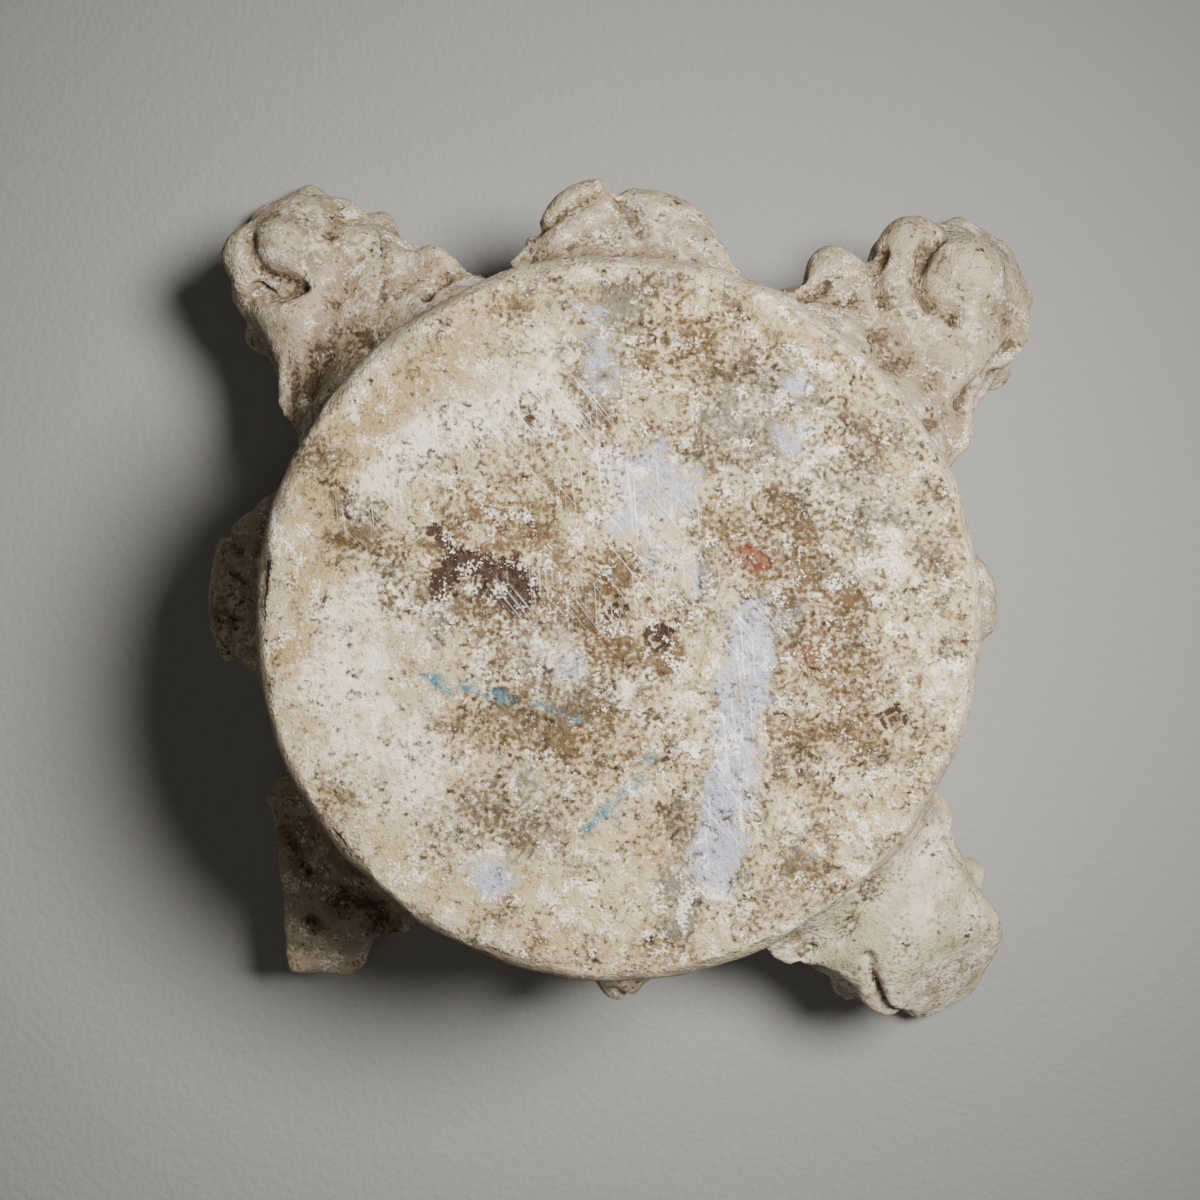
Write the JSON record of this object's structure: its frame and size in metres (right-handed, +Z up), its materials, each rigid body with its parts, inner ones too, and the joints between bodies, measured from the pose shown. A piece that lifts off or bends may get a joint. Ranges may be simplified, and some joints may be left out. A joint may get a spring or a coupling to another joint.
{
  "type": "corinthian_capital",
  "caption": "Small worn Corinthian capital of white marble, lying upside down on its star-shaped abacus, round bed up, with broken corner leaves",
  "frame": {"origin": "on the column's axis, in the abacus face that the capital lies on", "axes": "+X and +Y run along the sides of the abacus, and +Z runs up the column's axis from the abacus face, on which the capital lies upside down, to the bed that sat on the shaft"},
  "size_m": [0.2608, 0.2608, 0.17],
  "materials": {
    "weathered_marble": "weathered"
  },
  "bodies": {
    "root": {"capital": "weathered_marble"}
  },
  "joints": []
}
